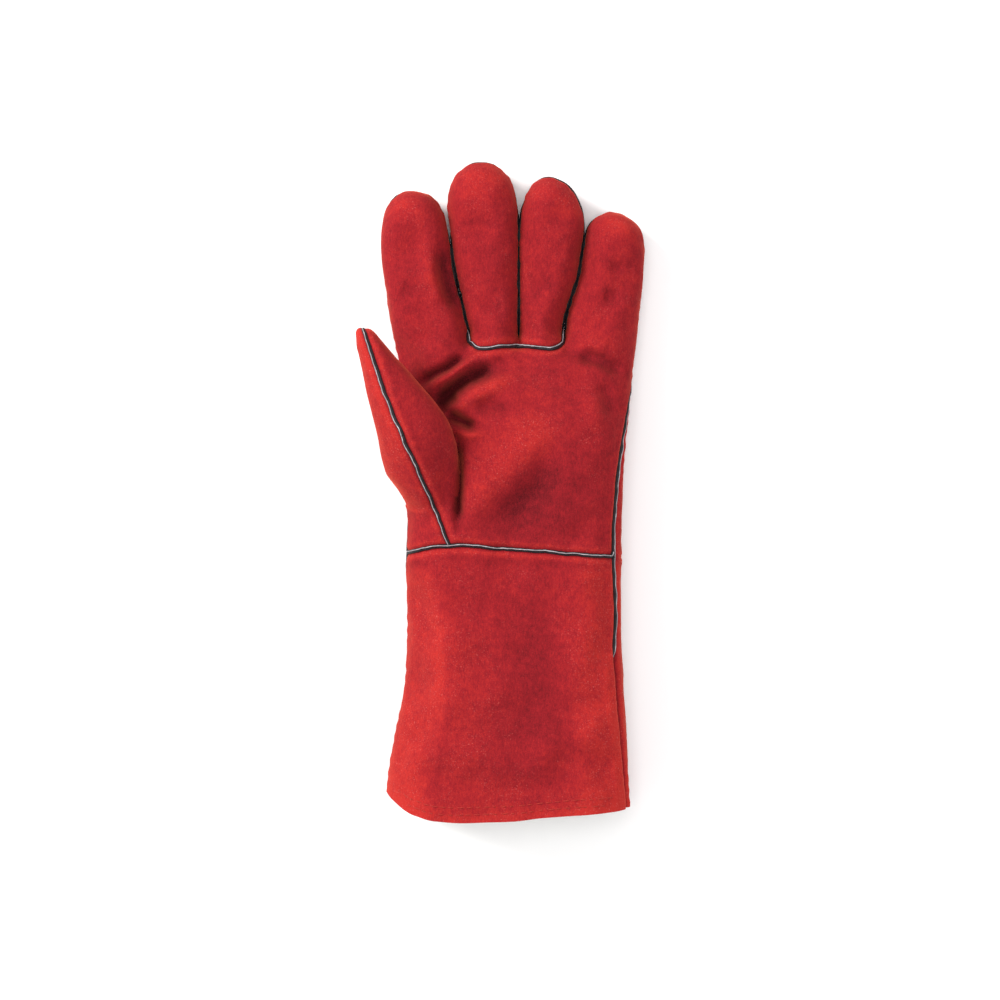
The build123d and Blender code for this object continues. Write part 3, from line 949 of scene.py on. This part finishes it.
# a dark copy of the welt's pale edge, used between the fingers: painted shade
WELT_EDGE_PAINTED_SHADE = coated("welt_edge_painted_shade", (0.009, 0.007, 0.009), (0.024, 0.02, 0.024), 0.55)
FLEECE = fleece("fleece_lining", (0.50, 0.46, 0.39), (0.72, 0.69, 0.62))
CANVAS = canvas("cuff_canvas", (0.42, 0.37, 0.29), (0.64, 0.60, 0.50))
THREAD = thread_material("hem_thread", (0.26, 0.013, 0.013), (0.42, 0.045, 0.034))


# ------------ sheets to pieces
def make_object(name, points, faces, materials, indices=None, normals=None):
    """A mesh object. points are in the drawing's millimetres; normals, if given, are per corner."""
    mesh = bpy.data.meshes.new(name)
    co = (np.asarray(points, float) + TO_MIDDLE) * MM
    mesh.from_pydata(co.tolist(), [], [list(map(int, f)) for f in faces])
    for m in materials:
        mesh.materials.append(m)
    if indices is not None:
        mesh.polygons.foreach_set("material_index", np.asarray(indices, np.int32))
    mesh.polygons.foreach_set("use_smooth", np.ones(len(mesh.polygons), bool))
    mesh.update()
    if normals is not None:
        mesh.normals_split_custom_set(normals.tolist())
    return add_object(name, mesh)


def shell(name, sheet, thickness, materials):
    """A sheet given thickness inwards, with its cut edges closed."""
    n = len(sheet.co)
    outer, normal = sheet.co, sheet.no
    inner = outer - normal * thickness
    rim = sheet.rim()
    tris = sheet.tris
    faces = [tuple(t) for t in tris] + [tuple(t) for t in tris[:, ::-1] + n]
    sides = [(b, a, a + n, b + n) for a, b in rim]
    p = np.concatenate([outer, inner])
    q = p[np.array(sides)]
    across = unit(np.cross(q[:, 2] - q[:, 0], q[:, 3] - q[:, 1])).repeat(4, 0)
    loops = np.concatenate([normal[tris].reshape(-1, 3), -normal[tris[:, ::-1]].reshape(-1, 3), across])
    indices = [0] * (2 * len(tris)) + [min(1, len(materials) - 1)] * len(sides)
    obj = make_object(name, p, faces + sides, materials, indices, loops)
    tone = obj.data.attributes.new("tone", "FLOAT", "POINT")
    tone.data.foreach_set("value", np.tile(sheet.get("tone"), 2).astype(np.float32))
    return obj


def chains(sheet, field_name, where=None):
    """The seam's run along a sheet's cut edge, as ordered lists of point numbers, longest first."""
    rim = sheet.rim()
    s = np.abs(sheet.get(field_name))
    keep = (s[rim] < 0.08).all(1)
    if where is not None:
        keep &= where[rim].all(1)
    after = {int(a): int(b) for a, b in rim[keep]}
    starts = [a for a in after if a not in set(after.values())]
    out, used = [], set()
    for a in starts + list(after):
        if a in used:
            continue
        run = [a]
        used.add(a)
        while run[-1] in after and after[run[-1]] not in used:
            run.append(after[run[-1]])
            used.add(run[-1])
        if run[-1] in after and after[run[-1]] == run[0]:
            run.append(run[0])
        out.append(run)
    return sorted(out, key=len, reverse=True)


def even(points, normals, step):
    """A run resampled at an even step, and smoothed."""
    closed = np.linalg.norm(points[0] - points[-1]) < 1e-6
    for _ in range(3):
        mid = points.copy()
        mid[1:-1] = (points[:-2] + 2 * points[1:-1] + points[2:]) / 4
        if closed:
            mid[0] = mid[-1] = (points[-2] + 2 * points[0] + points[1]) / 4
        points = mid
    length = distance_along(points)
    at = np.linspace(0, length[-1], max(3, int(length[-1] / step)))
    p, n = columns_at(at, length, points), columns_at(at, length, normals)
    for _ in range(6):
        n[1:-1] = (n[:-2] + 2 * n[1:-1] + n[2:]) / 4
    return p, unit(n), at


WELT_PROFILE = [  # across the seam, out of the seam; the raised narrow strip is the pale cut edge, its pale colour partly a painted highlight
    (-0.95, -2.2), (-1.02, 0.85), (-0.9, 1.3), (-0.58, 1.42), (-0.54, 1.62), (-0.14, 1.64),
    (-0.1, 1.42), (0.68, 1.32), (0.98, 0.9), (0.98, -2.2),
]
PALE_FACES = {3, 4, 5}
WELT_STEP = 0.9


def welt_rows(points, normals, seed, rise=None):
    """Cross-sections of a strip sewn into a seam, standing out along the surface's normals."""
    p, n, at = even(points, normals, WELT_STEP)
    across = unit(np.cross(unit(np.gradient(p, axis=0)), n))
    sway = 0.14 * waves(at, 0 * at, 11, seed) + 0.07 * waves(at, 0 * at, 4, seed + 1)
    lean = 0.16 * waves(at, 0 * at, 16, seed + 3)
    lifted = rise(p) if rise else np.zeros(len(at))
    height = 0.16 * waves(at, 0 * at, 12, seed + 2) + lifted
    rows = []
    for b, h in WELT_PROFILE:
        lift = h + height if h > 0 else h * (1 + 0.3 * np.minimum(lifted, 0))
        slide = b + sway + (lean if abs(b) < 1 and h > 0 else 0)
        rows.append(p + across * slide[:, None] + n * np.asarray(lift)[:, None])
    return p, np.stack(rows, 1)


def welt_piece(name, grid, edge=GREY):
    """A closed strip through a run of cross-sections."""
    count, m = grid.shape[:2]
    faces, indices = [], []
    for i in range(count - 1):
        for j in range(m):
            k = (j + 1) % m
            faces.append((i * m + j, i * m + k, (i + 1) * m + k, (i + 1) * m + j))
            indices.append(1 if j in PALE_FACES else 0)
    first = (count - 1) * m
    faces += [tuple(range(m - 1, -1, -1)), tuple(range(first, first + m))]
    return make_object(name, grid.reshape(-1, 3), faces, [BLACK, edge], indices + [0, 0])


# ------------ placing pieces: those on the hand follow its body, the rest stay in place
def frame_point(x, y, z):
    return tuple((np.array((x, y, z), float) + TO_MIDDLE) * MM)


def attach(obj, body):
    if body in FINGER_NAMES:
        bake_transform(obj)
    elif body == "thumb":
        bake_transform(obj)
    elif body == "cuff":
        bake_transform(obj)
    else:
        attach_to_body(obj, "hand")


def finish_piece(obj, body, slot_name, *nodes):
    attach(obj, body)
    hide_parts(*nodes)
    return obj


# ------------ leather
print("slack")
SLACK_POINTS, SLACK_NORMAL, SLACK_MOVE = simulate_slack()
SLACK_TREE = KDTree(len(SLACK_POINTS))
for i, point in enumerate(SLACK_POINTS):
    SLACK_TREE.insert(point, i)
SLACK_TREE.balance()
print("surface")
skin = make_sheet(0.0, CELL, 3, shape_seams)
print("points", len(skin.co))
parts = panels(skin)
LEATHER_PIECES = {
    "hand_front": ("palm", "hand", ["palm_leather"]),
    "heel": ("thumb_heel", "hand", ["thumb_heel_leather"]),
    "hand_back": ("hand_back", "hand", ["hand_back_leather"]),
    "thumb_inner": ("thumb_inner", "thumb", ["thumb_inner_leather", "thumb_fold"]),
    "thumb_outer": ("thumb_outer", "thumb", ["thumb_outer_leather"]),
    "cuff_front": ("cuff_front", "cuff", ["cuff_front_leather", "wrist_fold"]),
    "cuff_back": ("cuff_back", "cuff", ["cuff_back_leather"]),
}
for f in FINGER_NAMES:
    LEATHER_PIECES[f"{f}_front"] = (f"{f}_front", f, [f"{f}_front_leather", f"{f}_fold"])
    LEATHER_PIECES[f"{f}_back"] = (f"{f}_back", f, [f"{f}_back_leather"])
for key, (name, body, nodes) in LEATHER_PIECES.items():
    obj = shell(name, parts[key], LEATHER, [RED, CUT_EDGE])
    finish_piece(obj, body, "red_suede", *nodes)

# ------------ welts
def seam_run(sheet, name, axis, falling=False, where=None):
    """Points and normals of a sheet's longest run along a seam, rising or falling along an axis."""
    run = chains(sheet, name, where=where)[0]
    if (sheet.co[run[0], axis] > sheet.co[run[-1], axis]) != falling:
        run = run[::-1]
    return sheet.co[run], sheet.no[run]


def long_side_seam():
    """The seam round the whole glove, from the hem on one side to the hem on the other."""
    _, rest = split_thumb(skin)
    return seam_run(rest.cut(rest.get("side"))[0], "side", 0)


def stretches(labels):
    """Start and end of each run of one label."""
    edges = [0] + [i for i in range(1, len(labels)) if labels[i] != labels[i - 1]] + [len(labels)]
    return [(labels[a], a, b) for a, b in zip(edges, edges[1:])]


STRIP_RISE = (0.8, 0.7, 0.95)  # between two fingers, so that the strips nearly meet


def side_rise(p):
    """The palm panel rolls over the outseam's lower half; between two fingers the two strips meet."""
    x, y, _ = p.T
    rise = -2.0 * smooth((-80 - y) / 12) * smooth(x / 10)
    for i, (top, _) in enumerate(SLIT_RISE):
        near = bell(x - slit_x(i, y), 4.0, 4) * smooth((y - 81) / 3) * smooth((top - 6 - y) / 12)
        open_part = bell(y - 106.5, 5.5, 4) if i == 0 else 0  # where the background shows through
        rise = rise + STRIP_RISE[i] * near * (1 - open_part)
    return rise


print("welts")
seam_points, grid = welt_rows(*long_side_seam(), seed=1, rise=side_rise)
seam_x, seam_y, _ = seam_points.T
dips = []  # the lowest point of the seam between each two fingers
for i in range(3):
    between = (seam_y > FINGERS_FROM) & (np.abs(seam_x - slit_x(i, seam_y)) < 6)
    dips.append(int(np.argmin(np.where(between, seam_y, 999))))
labels = []
for at, (x, y) in enumerate(zip(seam_x, seam_y)):
    if y > FINGERS_FROM:
        labels.append(FINGER_NAMES[sum(at > dip for dip in dips)])
    elif y > float(table(WRIST_LINE, np.array([x]))[0]):
        labels.append("thumb_side" if x < 0 else "little_side")
    else:
        labels.append("cuff_thumb" if x < 0 else "cuff_little")
WELT_BODY = {"thumb_side": "hand", "little_side": "hand", "cuff_thumb": "cuff", "cuff_little": "cuff"}
for label, a, b in stretches(labels):
    # between the fingers the pale edge is swapped for its dark copy, as painted shade
    edge = WELT_EDGE_PAINTED_SHADE if label in FINGER_NAMES else GREY
    strip = welt_piece(f"{label}_welt_strip", grid[a : b + 1], edge)
    finish_piece(strip, WELT_BODY.get(label, label), "welt_strip", f"{label}_welt")

# the wrist's welt crosses the palm side and ends in a small upturned tail at the outseam
below = skin.cut(skin.get("wrist"))[1]
run = chains(below, "wrist")[0]
points, normals, shown = below.co[run], below.no[run], below.get("side")[run]
first = int(np.argmin(np.where(shown > -2.5, points[:, 0], 99)))
points, normals, shown = (np.roll(a[:-1], -first, 0) for a in (points, normals, shown))
if points[5, 0] < points[0, 0] or points[5, 2] < points[0, 2]:
    points, normals, shown = (np.roll(a[::-1], 1, 0) for a in (points, normals, shown))
stop = int(np.argmax((shown < 0.9) & (points[:, 0] > 20)))
points, normals = points[:stop], normals[:stop]
tail = points[-1] + np.array([(0.5, 0.5, 0.1), (0.9, 1.5, 0.3), (0.9, 2.7, 0.4)])
points, normals = np.concatenate([points, tail]), np.concatenate([normals, normals[-1:].repeat(3, 0)])
strip = welt_piece("wrist_welt_strip", welt_rows(points, normals, seed=40)[1])
finish_piece(strip, "hand", "welt_strip", "wrist_welt")

# the welt at the roots of the middle and ring fingers dives into the gaps at its ends
root_sheet = parts["hand_front"]
in_root = (root_sheet.co[:, 0] > ROOT_LEFT - 0.3) & (root_sheet.co[:, 0] < ROOT_RIGHT + 0.3)
points, normals = seam_run(root_sheet, "root", 0, where=in_root)
left_tail = points[0] + np.array([(-1.3, 6.6, -5.5), (-0.7, 4.4, -2.6), (-0.2, 2.1, -0.7)])
right_tail = points[-1] + np.array([(0.0, 2.1, -0.7), (0.1, 4.4, -2.6), (0.6, 6.6, -5.5)])
points = np.concatenate([left_tail, points, right_tail])
normals = np.concatenate([normals[:1].repeat(3, 0), normals, normals[-1:].repeat(3, 0)])
strip = welt_piece("finger_root_welt_strip", welt_rows(points, normals, seed=50)[1])
finish_piece(strip, "hand", "welt_strip", "finger_root_welt")

# the thumb's welt runs from the wrist up its palm side, over the tip and down behind
points, normals = seam_run(parts["thumb_inner"], "thumb_line", 2, falling=True)
foot_points, foot_normals = seam_run(parts["heel"], "thumb_line", 1)
points, normals = np.concatenate([foot_points, points]), np.concatenate([foot_normals, normals])
p, grid = welt_rows(points, normals, seed=60, rise=lambda q: -0.9 * smooth((q[:, 1] - 80) / 4))
split = int(np.argmax(p[:, 1] > CROTCH_Y))
finish_piece(welt_piece("thumb_foot_welt_strip", grid[: split + 1]), "hand", "welt_strip", "thumb_foot_welt")
finish_piece(welt_piece("thumb_welt_strip", grid[split:]), "thumb", "welt_strip", "thumb_welt")

# ------------ linings
print("linings")
LINING_CELL = 2.6
inner_parts = panels(make_sheet(-(LEATHER + LINING_GAP + SEAM_ALLOWANCE), LINING_CELL, 2, shape_lining))
LINING_PIECES = {
    "hand_front": ("palm_fleece", "hand", ["palm_lining"], FLEECE, "fleece_lining"),
    "hand_back": ("hand_back_fleece", "hand", ["hand_back_lining"], FLEECE, "fleece_lining"),
    "cuff_front": ("cuff_front_canvas", "cuff", ["cuff_front_lining"], CANVAS, "cuff_canvas"),
    "cuff_back": ("cuff_back_canvas", "cuff", ["cuff_back_lining"], CANVAS, "cuff_canvas"),
}
inner_parts["hand_front"] = joined(inner_parts["hand_front"], inner_parts["heel"])
for key, (name, body, nodes, material, slot_name) in LINING_PIECES.items():
    finish_piece(shell(name, inner_parts[key], LINING, [material]), body, slot_name, *nodes)
for f in FINGER_NAMES:
    sock = joined(inner_parts[f"{f}_front"], inner_parts[f"{f}_back"])
    finish_piece(shell(f"{f}_fleece", sock, LINING, [FLEECE]), f, "fleece_lining", f"{f}_lining")
sock = joined(inner_parts["thumb_inner"], inner_parts["thumb_outer"])
finish_piece(shell("thumb_fleece", sock, LINING, [FLEECE]), "thumb", "fleece_lining", "thumb_lining")

# ------------ hem stitching
print("stitches")


def top_height(x, y):
    """Height of the palm side over each (x, y), found by stepping down to the surface."""
    z = np.full(np.shape(x), 60.0)
    p = np.column_stack([x, y, z])
    for _ in range(60):
        p[:, 2] -= np.clip(field(*p.T), -2, 2) * 0.7
    return p[:, 2]


STITCH, PITCH, THREAD_RADIUS = 3.3, 4.7, 0.3
RINGS, SIDES = 7, 6  # of one stitch
STITCH_ROWS = ((8.0, -55, 60), (4.2, -50, 58))  # height above the hem, from x, to x
stitch_points, stitch_faces = [], []
for lift, lo, hi in STITCH_ROWS:
    x = np.arange(lo, hi, 0.5)
    y = table(HEM_LINE, x) + lift + 0.25 * waves(x, 0 * x, 40, 90)
    z = top_height(x, y)
    line = np.column_stack([x, y, z])
    length = distance_along(line)
    start = 1.0
    while start + STITCH < length[-1]:
        reach = STITCH * (1 + 0.2 * rng.standard_normal())
        q = columns_at(np.linspace(start, start + reach, RINGS), length, line)
        n = unit(gradient(q))
        arch = np.sin(np.linspace(0, math.pi, RINGS))
        centre = q + n * (0.34 * arch - 0.16)[:, None]
        b = np.cross(unit(np.gradient(centre, axis=0)), n)
        base = len(stitch_points)
        for k in range(RINGS):
            radius = THREAD_RADIUS * (0.55 + 0.45 * arch[k])
            for a in range(SIDES):
                angle = 2 * math.pi * a / SIDES
                stitch_points.append(centre[k] + radius * (math.cos(angle) * b[k] + math.sin(angle) * n[k]))
        for ring in range(base, base + (RINGS - 1) * SIDES, SIDES):
            for a in range(SIDES):
                c = (a + 1) % SIDES
                stitch_faces.append((ring + a, ring + c, ring + SIDES + c, ring + SIDES + a))
        stitch_faces.append(tuple(base + a for a in range(SIDES - 1, -1, -1)))
        stitch_faces.append(tuple(base + (RINGS - 1) * SIDES + a for a in range(SIDES)))
        start += PITCH * (1 + 0.06 * rng.standard_normal())
stitches = make_object("hem_stitches", stitch_points, stitch_faces, [THREAD])
finish_piece(stitches, "cuff", "hem_thread", "hem_thread")

# ------------ floor, light and camera
FLOOR_HALF, FLOOR_Z = 3, -0.0004
corners = [(FLOOR_HALF * a, FLOOR_HALF * b, FLOOR_Z) for a, b in ((-1, -1), (1, -1), (1, 1), (-1, 1))]
floor_mesh = bpy.data.meshes.new("floor")
floor_mesh.from_pydata(corners, [], [(0, 1, 2, 3)])
floor = add_object("floor", floor_mesh)
pale = Nodes("pale_floor")
pale.put(pale.bsdf, Base_Color=(0.93, 0.93, 0.93, 1), Roughness=0.9)
floor_mesh.materials.append(pale.mat)


def area_light(name, place, size, power, colour=(1, 1, 1)):
    light = bpy.data.lights.new(name, "AREA")
    light.shape, light.size, light.energy, light.color = "DISK", size, power, colour
    obj = add_object(name, light)
    obj.location = place
    direction = np.array((0.0, 0.0, 0.02)) - np.array(place)
    obj.rotation_euler = Vector(direction).to_track_quat("-Z", "Y").to_euler()


area_light("key", (-1.25, 0.75, 0.95), size=0.8, power=36, colour=(1.0, 0.985, 0.96))
area_light("fill", (1.1, -0.5, 1.2), size=1.0, power=8)
area_light("over", (0.0, 0.1, 1.9), size=1.3, power=17)
world = bpy.context.scene.world or bpy.data.worlds.new("world")
bpy.context.scene.world = world
world.use_nodes = True
background = world.node_tree.nodes["Background"]
background.inputs["Color"].default_value = (1, 1, 1, 1)
background.inputs["Strength"].default_value = 0.54

SPAN, LENS, SENSOR = 532.0, 85.0, 36.0  # the picture's width on the glove, the focal length, the sensor
cam = bpy.data.cameras.new("camera")
cam.lens, cam.sensor_width = LENS, SENSOR
camera = add_object("camera", cam)
camera.location = frame_point(-0.5, -4.8, 22 + SPAN * LENS / SENSOR)
bpy.context.scene.camera = camera
bpy.context.scene.view_settings.view_transform = "Standard"
